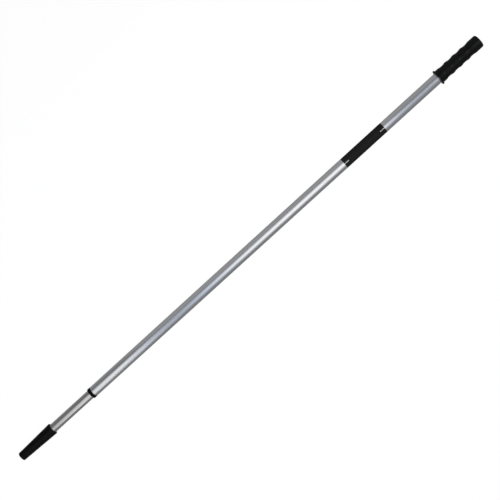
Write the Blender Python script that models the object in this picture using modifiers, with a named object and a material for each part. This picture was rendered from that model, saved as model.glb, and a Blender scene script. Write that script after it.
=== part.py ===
"""Telescopic roller extension pole.

An inner tube with a push-on taper for a roller frame slides in an outer tube with a finger grip.
A twist lock on the inner tube's hidden end wedges a split collet against the outer tube's bore.

Every piece is modelled on the pole's own axis, local +Z from the taper to the grip, with local
zero at the middle of the pole as it is drawn out here. The empty pole_axis then lays the pole
down along world +X, at the height where the grip's flange rests on the ground. Metres.
"""

import math

import bmesh
import bpy
from mathutils import Matrix

# ---- driving dimensions ---------------------------------------------------------------------

TAPER_LENGTH = 0.0885
EXPOSED_INNER = 0.1075  # inner tube showing between the taper and the collar
COLLAR_RIM_LENGTH = 0.0071
BARE_OUTER = 0.9365  # outer tube showing between the collar and the grip
GRIP_LENGTH = 0.1082

OUTER_RADIUS, OUTER_WALL = 0.01125, 0.0007
INNER_RADIUS, INNER_WALL = 0.0095, 0.0006
FLANGE_RADIUS = 0.0165
TAPER_END_RADIUS, TAPER_BASE_RADIUS = 0.00945, 0.01265

REACH_LEFT = 0.7515  # how much further the inner tube can be drawn out
FIT_GAP = 0.0002  # between round surfaces on the pole's axis
FACE_GAP = 0.0003  # between end faces

TUBE_STEPS = 48
GRIP_STEPS = 40
SMALL_STEPS = 32
PIN_STEPS = 16

# ---- stations along the pole ----------------------------------------------------------------

TOTAL_LENGTH = TAPER_LENGTH + EXPOSED_INNER + COLLAR_RIM_LENGTH + BARE_OUTER + GRIP_LENGTH
TAPER_END = -TOTAL_LENGTH / 2
TAPER_BASE = TAPER_END + TAPER_LENGTH
COLLAR_FACE = TAPER_BASE + EXPOSED_INNER
TUBE_MOUTH = COLLAR_FACE + COLLAR_RIM_LENGTH
FLANGE_FACE = TUBE_MOUTH + BARE_OUTER
BUTT_END = FLANGE_FACE + GRIP_LENGTH

COLLAR_SLEEVE_LENGTH = 0.030
COLLAR_STEP = 0.00035  # how far the collar stands proud of the outer tube
STOP_CLEARANCE = 0.0005
LOCK_BASE = TUBE_MOUTH + COLLAR_SLEEVE_LENGTH + STOP_CLEARANCE + REACH_LEFT  # inner tube's end

OUTER_BORE = OUTER_RADIUS - OUTER_WALL
INNER_BORE = INNER_RADIUS - INNER_WALL
IN_OUTER_BORE = OUTER_BORE - FIT_GAP  # radius of what slides or presses into the outer tube
IN_INNER_BORE = INNER_BORE - FIT_GAP
ROUND_INNER = INNER_RADIUS + FIT_GAP  # bore of what goes over the inner tube

# ---- the roller taper and its screw ---------------------------------------------------------

TAPER_SWELL = 1.15  # above 1, the taper widens a little faster towards its base
SOCKET_DEPTH = 0.045
SPIGOT_LENGTH = 0.035
SPIGOT_BORE = 0.0062
TAPER_NOSE_WALL = 0.004
SCREW_FROM_BASE = 0.014
SCREW_HEAD_RADIUS, SCREW_HEAD_HEIGHT = 0.0030, 0.0011
SCREW_SHANK_RADIUS = 0.00145
SCREW_POINT_LENGTH = 0.0012
SCREW_CLEARANCE = 0.0003
RECESS_WIDTH, RECESS_DEPTH, RECESS_ACROSS = 0.0007, 0.0007, 0.0032
SCREW_SEAT = 0.01035  # distance of the counterbore's floor from the pole's axis
SCREW_POINT = 0.0049  # distance of the screw's point from the pole's axis

# ---- the grip -------------------------------------------------------------------------------

GRIP_CREST_RADIUS, GRIP_VALLEY_RADIUS = 0.0140, 0.01275
GRIP_END_RADIUS, GRIP_END_FILLET = 0.0138, 0.0034
LIP_THICKNESS, NECK_HEIGHT = 0.0030, 0.0040
FINGER_PITCH = 0.0198
FIRST_VALLEY = 0.0201  # from the flange's face
FINGER_COUNT = 4
CREST_SHARPNESS = 1.6
GRIP_END_WALL = 0.005
BUTT_HEAD_THICKNESS = 0.002
BUTT_SLEEVE_LENGTH, BUTT_SLEEVE_WALL = 0.014, 0.0018

# ---- the label ------------------------------------------------------------------------------

LABEL_LENGTH = 0.1058
LABEL_FROM_FLANGE = 0.1431
LABEL_GAP, LABEL_THICKNESS = 0.00005, 0.00015

# ---- the twist lock, in heights above the inner tube's end ----------------------------------

PLUG_DEPTH = 0.028
PLUG_SHOULDER_TOP = 0.0043
CRIMP_DEPTHS = (0.009, 0.020)  # below the tube's end
CRIMP_SINK, CRIMP_HALF_WIDTH = 0.0006, 0.002
GROOVE_RADIUS, GROOVE_FLOOR_HALF, GROOVE_HALF_WIDTH = 0.0078, 0.0012, 0.0032
STUD_RADIUS, STUD_EMBEDDED, STUD_TOP = 0.0030, 0.0197, 0.0525
STUD_HOLE = STUD_RADIUS + FIT_GAP
THRUST_WASHER, THRUST_WASHER_RADIUS = (0.0046, 0.0058), 0.0085
COLLET_BOTTOM, COLLET_TOP = 0.0061, 0.0421
COLLET_BASE_HEIGHT = 0.006
CONE_START, CONE_START_RADIUS, CONE_END_RADIUS = 0.0141, 0.0052, 0.0076
COLLET_SLOTS, SLOT_WIDTH, SLOT_FLOOR = 4, 0.0018, 0.0126
WEDGE_BOTTOM, WEDGE_TOP = 0.0221, 0.0381
WEDGE_CLEARANCE = 0.00015
KEY_THICKNESS, KEY_BOTTOM, KEY_TOP = 0.0013, 0.0241, 0.0371
KEY_ROOT, KEY_REACH = 0.0044, 0.0093  # radii; the keys start inside the wedge
STOP_WASHER, STOP_WASHER_RADIUS = (0.0424, 0.0436), 0.0090
NUT_BOTTOM, NUT_TOP = 0.0439, 0.0499
NUT_ACROSS_FLATS = 0.010

# ---- materials ------------------------------------------------------------------------------

FINISHES = {
    "satin_aluminium": ((0.62, 0.64, 0.67), 0.32, 1.0),
    "drawn_aluminium": ((0.56, 0.57, 0.58), 0.28, 1.0),
    "soft_grip": ((0.018, 0.018, 0.019), 0.62, 0.0),
    "black_moulding": ((0.014, 0.014, 0.014), 0.45, 0.0),
    "label_film": ((0.016, 0.016, 0.017), 0.38, 0.0),
    "natural_nylon": ((0.72, 0.70, 0.62), 0.50, 0.0),
    "zinc_steel": ((0.58, 0.58, 0.56), 0.35, 1.0),
}


def finish(name):
    """The named Principled BSDF material, made once."""
    material = bpy.data.materials.get(name)
    if material:
        return material
    colour, roughness, metallic = FINISHES[name]
    material = bpy.data.materials.new(name)
    material.use_nodes = True
    shader = material.node_tree.nodes["Principled BSDF"]
    shader.inputs["Base Color"].default_value = (*colour, 1.0)
    shader.inputs["Roughness"].default_value = roughness
    shader.inputs["Metallic"].default_value = metallic
    material.diffuse_color = (*colour, 1.0)
    return material


# ---- modelling helpers ----------------------------------------------------------------------


def rounded(corners, segments=3):
    """A profile from corners (radius, height), with a fillet radius and its segments if it has one."""
    points = []
    for index, corner in enumerate(corners):
        here = corner[:2]
        if len(corner) == 2:
            points.append(here)
            continue
        before = corners[index - 1][:2]
        after = corners[(index + 1) % len(corners)][:2]
        own_segments = corner[3] if len(corner) > 3 else segments
        points += fillet_arc(before, here, after, corner[2], own_segments)
    return points


def fillet_arc(before, here, after, radius, segments):
    """Points of the arc that rounds off the corner at here."""

    def unit(a, b):
        length = math.dist(a, b)
        return (b[0] - a[0]) / length, (b[1] - a[1]) / length

    back, ahead = unit(here, before), unit(here, after)
    half = math.acos(max(-1.0, min(1.0, back[0] * ahead[0] + back[1] * ahead[1]))) / 2
    middle = (back[0] + ahead[0], back[1] + ahead[1])
    size = math.hypot(*middle)
    centre_distance = radius / math.sin(half)
    centre = tuple(here[k] + middle[k] / size * centre_distance for k in (0, 1))
    tangent = radius / math.tan(half)
    start = tuple(here[k] + back[k] * tangent for k in (0, 1))
    end = tuple(here[k] + ahead[k] * tangent for k in (0, 1))
    angle = math.atan2(start[1] - centre[1], start[0] - centre[0])
    turn = math.atan2(end[1] - centre[1], end[0] - centre[0]) - angle
    turn = (turn + math.pi) % (2 * math.pi) - math.pi
    return [
        (
            centre[0] + radius * math.cos(angle + turn * step / segments),
            centre[1] + radius * math.sin(angle + turn * step / segments),
        )
        for step in range(segments + 1)
    ]


def smooth_round(mesh):
    mesh.shade_smooth()
    mesh.set_sharp_from_angle(angle=math.radians(35))


def put(obj, parent, material, collection):
    """Links an object, with its parent and material."""
    collection.objects.link(obj)
    obj.parent = parent
    if material:
        obj.data.materials.append(finish(material))
    return obj


def turned(name, profile, parent, material, collection, steps=TUBE_STEPS, closed=False):
    """A solid of revolution about local Z. The profile runs down its outer side.

    An open profile starts and ends on the axis; a closed one is the section of a ring.
    """
    mesh = bpy.data.meshes.new(name)
    count = len(profile)
    edges = [(i, i + 1) for i in range(count - 1)]
    if closed:
        edges.append((count - 1, 0))
    mesh.from_pydata([(radius, 0, height) for radius, height in profile], edges, [])
    obj = put(bpy.data.objects.new(name, mesh), parent, material, collection)
    screw = obj.modifiers.new("turn", "SCREW")
    screw.axis = "Z"
    screw.steps = steps
    screw.render_steps = steps
    screw.use_merge_vertices = True
    screw.merge_threshold = 1e-6
    screw.use_smooth_shade = True
    return obj


def made_mesh(obj):
    """Replaces the object's modifiers by the mesh that they make."""
    graph = bpy.context.evaluated_depsgraph_get()
    mesh = bpy.data.meshes.new_from_object(obj.evaluated_get(graph))
    obj.modifiers.clear()
    obj.data = mesh
    smooth_round(mesh)
    return obj


def box(name, size, centre, parent, collection, turn=0.0):
    """A plain box, used as a cutter or as an added key."""
    mesh = bpy.data.meshes.new(name)
    shape = bmesh.new()
    bmesh.ops.create_cube(shape, size=1.0)
    bmesh.ops.scale(shape, vec=size, verts=shape.verts)
    bmesh.ops.translate(shape, vec=centre, verts=shape.verts)
    shape.to_mesh(mesh)
    shape.free()
    obj = put(bpy.data.objects.new(name, mesh), parent, None, collection)
    obj.rotation_euler.z = turn
    return obj


def helper(obj):
    """Marks an object as a cutter or a key, which isn't a piece itself."""
    obj.hide_render = True
    obj.display_type = "WIRE"
    return obj


def combine(obj, other, operation="DIFFERENCE"):
    boolean = obj.modifiers.new(other.name, "BOOLEAN")
    boolean.operation = operation
    boolean.solver = "EXACT"
    boolean.object = helper(other)


# ---- outer section --------------------------------------------------------------------------


def tube_profile(radius, wall, bottom, top, edge=0.00015):
    """The section of a tube with lightly broken edges."""
    bore = radius - wall
    corners = ((radius, top), (radius, bottom), (bore, bottom), (bore, top))
    return rounded([(*corner, edge) for corner in corners], segments=1)


def butt_head_top():
    return BUTT_END - GRIP_END_WALL - FACE_GAP


def make_outer_tube(parent, pieces):
    top = butt_head_top() - BUTT_HEAD_THICKNESS - FACE_GAP
    profile = tube_profile(OUTER_RADIUS, OUTER_WALL, TUBE_MOUTH + FACE_GAP, top)
    turned("outer_tube", profile, parent, "satin_aluminium", pieces, closed=True)


def make_end_collar(parent, pieces):
    """The black guide bush pressed into the outer tube's mouth, with its rim outside."""
    rim_radius = OUTER_RADIUS + COLLAR_STEP
    sleeve_top = TUBE_MOUTH + COLLAR_SLEEVE_LENGTH
    profile = rounded(
        [
            (IN_OUTER_BORE, sleeve_top, 0.0002, 1),
            (IN_OUTER_BORE, TUBE_MOUTH),
            (rim_radius, TUBE_MOUTH, 0.0003, 1),
            (rim_radius, COLLAR_FACE, 0.0012, 4),
            (ROUND_INNER, COLLAR_FACE, 0.0003, 1),
            (ROUND_INNER, sleeve_top),
        ]
    )
    turned("end_collar", profile, parent, "black_moulding", pieces, closed=True)


def make_wrap_label(parent, pieces):
    inside = OUTER_RADIUS + LABEL_GAP
    outside = inside + LABEL_THICKNESS
    top = FLANGE_FACE - LABEL_FROM_FLANGE
    bottom = top - LABEL_LENGTH
    profile = [(outside, top), (outside, bottom), (inside, bottom), (inside, top)]
    turned("wrap_label", profile, parent, "label_film", pieces, closed=True)


def grip_radius(from_flange):
    """Radius of the finger waves: wide valleys between narrower crests."""
    phase = (from_flange - FIRST_VALLEY) / FINGER_PITCH * 2 * math.pi
    rise = ((1 - math.cos(phase)) / 2) ** CREST_SHARPNESS
    return GRIP_VALLEY_RADIUS + (GRIP_CREST_RADIUS - GRIP_VALLEY_RADIUS) * rise


def make_hand_grip(parent, pieces):
    waves_start = FIRST_VALLEY - FINGER_PITCH / 2
    waves_end = waves_start + FINGER_COUNT * FINGER_PITCH
    samples = FINGER_COUNT * 6
    heights = [waves_end - (waves_end - waves_start) * i / samples for i in range(samples + 1)]
    cavity = OUTER_RADIUS + FIT_GAP
    end = [(0, BUTT_END), (GRIP_END_RADIUS, BUTT_END, GRIP_END_FILLET), (GRIP_END_RADIUS, 0)]
    profile = rounded(end, 4)[:-1]
    profile += [(grip_radius(height), FLANGE_FACE + height) for height in heights]
    profile += rounded(
        [
            (GRIP_CREST_RADIUS, FLANGE_FACE + waves_start),
            (GRIP_CREST_RADIUS, FLANGE_FACE + NECK_HEIGHT, 0.0020),
            (FLANGE_RADIUS, FLANGE_FACE + LIP_THICKNESS, 0.0006),
            (FLANGE_RADIUS, FLANGE_FACE, 0.0007),
            (cavity, FLANGE_FACE),
        ]
    )[1:]
    cavity_end = BUTT_END - GRIP_END_WALL
    profile += [(cavity, cavity_end), (0, cavity_end)]
    turned("hand_grip", profile, parent, "soft_grip", pieces, steps=GRIP_STEPS)


def make_butt_plug(parent, pieces):
    """Closes the outer tube inside the grip, so that its edge can't cut through the grip's end."""
    top = butt_head_top()
    under = top - BUTT_HEAD_THICKNESS
    sleeve_end = under - BUTT_SLEEVE_LENGTH
    profile = rounded(
        [
            (0, top),
            (OUTER_RADIUS, top, 0.0004),
            (OUTER_RADIUS, under),
            (IN_OUTER_BORE, under),
            (IN_OUTER_BORE, sleeve_end, 0.0005),
            (IN_OUTER_BORE - BUTT_SLEEVE_WALL, sleeve_end),
            (IN_OUTER_BORE - BUTT_SLEEVE_WALL, under),
            (0, under),
        ],
        2,
    )
    turned("butt_plug", profile, parent, "black_moulding", pieces, steps=SMALL_STEPS)


# ---- inner section --------------------------------------------------------------------------


def crimped_side(radius):
    """The points where a side of the inner tube dips into each crimp, from the top down."""
    points = []
    for depth in CRIMP_DEPTHS:
        middle = LOCK_BASE - depth
        points += [
            (radius, middle + CRIMP_HALF_WIDTH),
            (radius - CRIMP_SINK, middle),
            (radius, middle - CRIMP_HALF_WIDTH),
        ]
    return points


def make_inner_tube(parent, pieces, screw_hole):
    bottom = TAPER_BASE - SOCKET_DEPTH + FACE_GAP
    plain = tube_profile(INNER_RADIUS, INNER_WALL, bottom, LOCK_BASE)
    outer_top, around_foot, bore_top = plain[:2], plain[2:6], plain[6:]
    profile = outer_top + crimped_side(INNER_RADIUS) + around_foot
    profile += crimped_side(INNER_BORE)[::-1] + bore_top
    tube = turned("inner_tube", profile, parent, "drawn_aluminium", pieces, closed=True)
    combine(made_mesh(tube), screw_hole)


def taper_radius(share):
    """Outside radius of the taper, at a share of its length from the small end."""
    return TAPER_END_RADIUS + (TAPER_BASE_RADIUS - TAPER_END_RADIUS) * share**TAPER_SWELL


def make_taper_tip(parent, pieces, screw_hole):
    """The moulded cone that a roller frame is pushed onto.

    Its open base takes the inner tube between an outer socket and a spigot in the tube's bore.
    """
    socket_floor = TAPER_BASE - SOCKET_DEPTH
    spigot_end = socket_floor + SPIGOT_LENGTH
    side_points = 5
    side = [
        (taper_radius(1 - i / side_points), TAPER_BASE - TAPER_LENGTH * i / side_points)
        for i in range(1, side_points)
    ]
    corners = [
        (SPIGOT_BORE, spigot_end),
        (IN_INNER_BORE, spigot_end, 0.0006, 1),
        (IN_INNER_BORE, socket_floor),
        (ROUND_INNER, socket_floor),
        (ROUND_INNER, TAPER_BASE, 0.0004, 1),
        (TAPER_BASE_RADIUS, TAPER_BASE, 0.0009, 3),
        *side,
        (TAPER_END_RADIUS, TAPER_END, 0.0015),
        (0, TAPER_END),
    ]
    profile = [(0, TAPER_END + TAPER_NOSE_WALL), (SPIGOT_BORE, TAPER_END + TAPER_NOSE_WALL)]
    profile += rounded(corners)
    tip = turned("taper_tip", profile, parent, "black_moulding", pieces)
    combine(made_mesh(tip), screw_hole)


def make_tip_screw(parent, pieces, cutters):
    """The self-tapping screw through the taper and the tube, and the stepped hole that it sits in."""
    height = TAPER_BASE - SCREW_FROM_BASE
    facing_out = math.pi / 2  # turns local Z to the pole's local X, which lies underneath
    seat = SCREW_SEAT + FACE_GAP
    head_hole, shank_hole = SCREW_HEAD_RADIUS + SCREW_CLEARANCE, SCREW_SHANK_RADIUS + SCREW_CLEARANCE
    outside, inside = OUTER_RADIUS * 1.5, SPIGOT_BORE - 0.002  # where the hole is sure to break out
    screw = turned(
        "tip_screw",
        rounded(
            [
                (0, seat + SCREW_HEAD_HEIGHT),
                (SCREW_HEAD_RADIUS, seat + SCREW_HEAD_HEIGHT, 0.0004),
                (SCREW_HEAD_RADIUS, seat),
                (SCREW_SHANK_RADIUS, seat),
                (SCREW_SHANK_RADIUS, SCREW_POINT + SCREW_POINT_LENGTH),
                (0, SCREW_POINT),
            ],
            2,
        ),
        parent,
        "zinc_steel",
        pieces,
        steps=PIN_STEPS,
    )
    made_mesh(screw)
    for index in range(2):
        recess = box(
            f"cross_recess_{index}",
            (RECESS_ACROSS, RECESS_WIDTH, 2 * RECESS_DEPTH),
            (0, 0, seat + SCREW_HEAD_HEIGHT),
            parent,
            cutters,
        )
        recess.rotation_euler = (0, facing_out, 0)
        recess.location.z = height
        recess.data.transform(Matrix.Rotation(index * math.pi / 2, 4, "Z"))
        combine(screw, recess)
    hole = turned(
        "screw_hole",
        [
            (0, outside),
            (head_hole, outside),
            (head_hole, SCREW_SEAT),
            (shank_hole, SCREW_SEAT),
            (shank_hole, inside),
            (0, inside),
        ],
        parent,
        None,
        cutters,
        steps=PIN_STEPS,
    )
    made_mesh(hole)
    for obj in (screw, hole):
        obj.rotation_euler = (0, facing_out, 0)
        obj.location.z = height
    return helper(hole)


# ---- twist lock -----------------------------------------------------------------------------


def lifted(corners):
    """Corners given as heights above the inner tube's end, moved to the pole's own heights."""
    return [(corner[0], corner[1] + LOCK_BASE, *corner[2:]) for corner in corners]


def make_lock_plug(parent, pieces):
    """The nylon plug crimped into the inner tube, with a guide shoulder for the outer bore."""
    corners = [
        (STUD_HOLE, PLUG_SHOULDER_TOP),
        (IN_OUTER_BORE, PLUG_SHOULDER_TOP, 0.0005),
        (IN_OUTER_BORE, FACE_GAP, 0.0005),
        (IN_INNER_BORE, FACE_GAP),
    ]
    for depth in CRIMP_DEPTHS:
        corners += [
            (IN_INNER_BORE, -depth + GROOVE_HALF_WIDTH),
            (GROOVE_RADIUS, -depth + GROOVE_FLOOR_HALF),
            (GROOVE_RADIUS, -depth - GROOVE_FLOOR_HALF),
            (IN_INNER_BORE, -depth - GROOVE_HALF_WIDTH),
        ]
    stud_hole_floor = -STUD_EMBEDDED - FACE_GAP
    corners += [(IN_INNER_BORE, -PLUG_DEPTH, 0.0008), (0, -PLUG_DEPTH)]
    profile = [(0, stud_hole_floor), (STUD_HOLE, stud_hole_floor), *corners]
    turned(
        "lock_plug", rounded(lifted(profile), 2), parent, "natural_nylon", pieces, steps=SMALL_STEPS
    )


def make_lock_stud(parent, pieces):
    chamfer = 0.0005
    profile = [
        (0, STUD_TOP),
        (STUD_RADIUS - chamfer, STUD_TOP),
        (STUD_RADIUS, STUD_TOP - chamfer),
        (STUD_RADIUS, -STUD_EMBEDDED),
        (0, -STUD_EMBEDDED),
    ]
    turned("lock_stud", lifted(profile), parent, "zinc_steel", pieces, steps=PIN_STEPS)


def make_washer(name, heights, radius, parent, pieces):
    bottom, top = heights
    corners = [(radius, top), (radius, bottom), (STUD_HOLE, bottom), (STUD_HOLE, top)]
    turned(name, lifted(corners), parent, "zinc_steel", pieces, steps=SMALL_STEPS, closed=True)


def cone_radius(height):
    """Radius of the collet's inner cone, at a height above the inner tube's end."""
    share = (height - CONE_START) / (COLLET_TOP - CONE_START)
    return CONE_START_RADIUS + (CONE_END_RADIUS - CONE_START_RADIUS) * share


def make_expander_collet(parent, pieces, cutters):
    """The split sleeve that the wedge nut spreads against the outer tube's bore."""
    bore = STUD_HOLE + FIT_GAP
    corners = [
        (IN_OUTER_BORE, COLLET_TOP, 0.0006),
        (IN_OUTER_BORE, COLLET_BOTTOM, 0.0006),
        (bore, COLLET_BOTTOM),
        (bore, COLLET_BOTTOM + COLLET_BASE_HEIGHT),
        (CONE_START_RADIUS, COLLET_BOTTOM + COLLET_BASE_HEIGHT),
        (CONE_START_RADIUS, CONE_START),
        (CONE_END_RADIUS, COLLET_TOP),
    ]
    collet = turned(
        "expander_collet",
        rounded(lifted(corners), 2),
        parent,
        "natural_nylon",
        pieces,
        steps=SMALL_STEPS,
        closed=True,
    )
    made_mesh(collet)
    break_out = 0.004
    slot_height = COLLET_TOP - SLOT_FLOOR + break_out
    for index in range(COLLET_SLOTS // 2):
        slot = box(
            f"collet_slot_{index}",
            (4 * OUTER_RADIUS, SLOT_WIDTH, slot_height),
            (0, 0, LOCK_BASE + SLOT_FLOOR + slot_height / 2),
            parent,
            cutters,
            turn=(index + 0.5) * math.pi / 2,
        )
        combine(collet, slot)


def make_wedge_nut(parent, pieces, cutters):
    """The tapered nut on the stud. Its two keys run in the collet's slots, so it can't turn there."""
    corners = [
        (cone_radius(WEDGE_TOP) - WEDGE_CLEARANCE, WEDGE_TOP),
        (cone_radius(WEDGE_BOTTOM) - WEDGE_CLEARANCE, WEDGE_BOTTOM),
        (STUD_HOLE, WEDGE_BOTTOM),
        (STUD_HOLE, WEDGE_TOP),
    ]
    nut = turned(
        "wedge_nut", lifted(corners), parent, "natural_nylon", pieces, SMALL_STEPS, closed=True
    )
    made_mesh(nut)
    for side in (-1, 1):
        key = box(
            f"wedge_key_{'left' if side < 0 else 'right'}",
            (KEY_REACH - KEY_ROOT, KEY_THICKNESS, KEY_TOP - KEY_BOTTOM),
            (side * (KEY_REACH + KEY_ROOT) / 2, 0, LOCK_BASE + (KEY_TOP + KEY_BOTTOM) / 2),
            parent,
            cutters,
            turn=math.pi / 4,
        )
        combine(nut, key, "UNION")


def make_lock_nut(parent, pieces, cutters):
    """The hexagon nut that keeps the collet on the stud."""
    mesh = bpy.data.meshes.new("lock_nut")
    shape = bmesh.new()
    across_corners = NUT_ACROSS_FLATS / math.cos(math.pi / 6)
    bmesh.ops.create_cone(
        shape,
        cap_ends=True,
        segments=6,
        radius1=across_corners / 2,
        radius2=across_corners / 2,
        depth=NUT_TOP - NUT_BOTTOM,
    )
    bmesh.ops.translate(shape, vec=(0, 0, LOCK_BASE + (NUT_TOP + NUT_BOTTOM) / 2), verts=shape.verts)
    shape.to_mesh(mesh)
    shape.free()
    nut = put(bpy.data.objects.new("lock_nut", mesh), parent, "zinc_steel", pieces)
    bore = turned(
        "lock_nut_bore",
        lifted(
            [
                (0, NUT_TOP + 0.001),
                (STUD_HOLE, NUT_TOP + 0.001),
                (STUD_HOLE, NUT_BOTTOM - 0.001),
                (0, NUT_BOTTOM - 0.001),
            ]
        ),
        parent,
        None,
        cutters,
        steps=PIN_STEPS,
    )
    combine(nut, made_mesh(bore))


# ---- assembly -------------------------------------------------------------------------------


def clear_scene():
    for obj in list(bpy.data.objects):
        bpy.data.objects.remove(obj, do_unlink=True)


def new_collection(name):
    collection = bpy.data.collections.new(name)
    bpy.context.scene.collection.children.link(collection)
    return collection


def empty(name, collection, parent=None):
    obj = bpy.data.objects.new(name, None)
    collection.objects.link(obj)
    obj.parent = parent
    obj.empty_display_size = 0.05
    return obj


def main():
    clear_scene()
    pieces = new_collection("roller_extension_pole")
    cutters = new_collection("cutters")

    pole_axis = empty("pole_axis", pieces)
    pole_axis.location = (0, 0, FLANGE_RADIUS)
    pole_axis.rotation_euler = (0, math.pi / 2, 0)
    outer = empty("outer_section", pieces, pole_axis)
    collet = empty("sliding_collet", pieces, pole_axis)
    wedge = empty("travelling_wedge", pieces, collet)
    inner = empty("inner_section", pieces, collet)

    make_outer_tube(outer, pieces)
    make_end_collar(outer, pieces)
    make_wrap_label(outer, pieces)
    make_hand_grip(outer, pieces)
    make_butt_plug(outer, pieces)

    screw_hole = make_tip_screw(inner, pieces, cutters)
    make_inner_tube(inner, pieces, screw_hole)
    make_taper_tip(inner, pieces, screw_hole)

    make_lock_plug(inner, pieces)
    make_lock_stud(inner, pieces)
    make_washer("thrust_washer", THRUST_WASHER, THRUST_WASHER_RADIUS, inner, pieces)
    make_washer("stop_washer", STOP_WASHER, STOP_WASHER_RADIUS, inner, pieces)
    make_lock_nut(inner, pieces, cutters)
    make_expander_collet(collet, pieces, cutters)
    make_wedge_nut(wedge, pieces, cutters)


main()
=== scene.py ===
"""The looks of the telescopic roller extension pole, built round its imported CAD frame. Metres.

The pole lies along +X, from the taper to the grip, with its axis at AXIS_HEIGHT. A turned piece is
drawn as a profile of (x, radius) points and spun about that axis.
"""

import math

import bmesh
import bpy
from mathutils import Matrix, Vector


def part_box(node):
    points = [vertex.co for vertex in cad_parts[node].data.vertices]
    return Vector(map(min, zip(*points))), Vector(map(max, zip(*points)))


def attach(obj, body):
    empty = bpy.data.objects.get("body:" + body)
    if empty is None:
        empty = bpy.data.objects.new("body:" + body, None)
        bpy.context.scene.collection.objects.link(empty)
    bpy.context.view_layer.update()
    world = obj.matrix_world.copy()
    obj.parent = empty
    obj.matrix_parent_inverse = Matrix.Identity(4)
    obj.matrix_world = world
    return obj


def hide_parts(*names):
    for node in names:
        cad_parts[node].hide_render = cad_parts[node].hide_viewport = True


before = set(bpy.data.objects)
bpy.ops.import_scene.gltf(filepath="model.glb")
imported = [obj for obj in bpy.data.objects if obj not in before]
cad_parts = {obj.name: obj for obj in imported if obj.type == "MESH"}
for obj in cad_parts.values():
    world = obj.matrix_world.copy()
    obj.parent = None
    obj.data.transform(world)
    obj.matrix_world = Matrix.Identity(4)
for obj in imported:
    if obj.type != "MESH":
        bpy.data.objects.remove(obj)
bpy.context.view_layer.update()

# ---- places, read from the CAD --------------------------------------------------------------


def span(node):
    """Where a CAD node starts and ends along the pole, and its widest radius."""
    low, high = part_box(node)
    return low.x, high.x, (high.y - low.y) / 2


AXIS_HEIGHT = sum(corner.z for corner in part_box("hand_grip")) / 2
TAPER_END, TAPER_BASE, TAPER_BASE_RADIUS = span("taper_tip")
COLLAR_FACE, COLLAR_SLEEVE_END, COLLAR_RIM_RADIUS = span("end_collar")
TUBE_MOUTH, OUTER_TUBE_END, OUTER_RADIUS = span("outer_tube")
INNER_START, INNER_END, INNER_RADIUS = span("inner_tube")
FLANGE_FACE, BUTT_END, FLANGE_RADIUS = span("hand_grip")
LABEL_START, LABEL_END, LABEL_RADIUS = span("wrap_label")
PLUG_START, PLUG_END, PLUG_RADIUS = span("lock_plug")
STUD_START, STUD_END, STUD_RADIUS = span("lock_stud")
COLLET_START, COLLET_END, COLLET_RADIUS = span("expander_collet")
WEDGE_START, WEDGE_END, _ = span("wedge_nut")
NUT_START, NUT_END, _ = span("lock_nut")
BUTT_PLUG_START, BUTT_PLUG_END, BUTT_PLUG_RADIUS = span("butt_plug")

# ---- sizes that the CAD boxes don't give ----------------------------------------------------

OUTER_WALL, INNER_WALL = 0.0007, 0.0006
FIT_GAP = 0.0002
OUTER_BORE, INNER_BORE = OUTER_RADIUS - OUTER_WALL, INNER_RADIUS - INNER_WALL
ROUND_INNER = INNER_RADIUS + FIT_GAP
COLLAR_RIM_LENGTH = 0.0071

TAPER_END_RADIUS = 0.00945
TAPER_SWELL = 1.15
SOCKET_DEPTH, SPIGOT_LENGTH, SPIGOT_BORE = 0.045, 0.035, 0.0062
TAPER_NOSE_WALL = 0.004
SCREW_FROM_BASE = 0.014
SCREW_SEAT, SCREW_HOLE_RADIUS, SHANK_HOLE_RADIUS = 0.01035, 0.0033, 0.00175

GRIP_CREST_RADIUS, GRIP_VALLEY_RADIUS, GRIP_END_RADIUS = 0.0140, 0.01275, 0.0138
FINGER_PITCH, FIRST_VALLEY, FINGER_COUNT, CREST_SHARPNESS = 0.0198, 0.0201, 4, 1.6
GRIP_END_WALL = 0.005

STUD_PITCH, THREAD_DEPTH = 0.001, 0.0006
STUD_HOLE = STUD_RADIUS + FIT_GAP
COLLET_SLOTS, SLOT_WIDTH, SLOT_FLOOR = 4, 0.0018, 0.0065
KEY_THICKNESS, KEY_ROOT_DEPTH, KEY_REACH = 0.0013, 0.0012, 0.0093
KEY_END_GAP, KEY_FORWARD = 0.003, 0.0005
CONE_START, CONE_START_RADIUS, CONE_END_RADIUS = 0.008, 0.0052, 0.0076
WEDGE_CLEARANCE = 0.00015

# ---- materials ------------------------------------------------------------------------------


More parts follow.
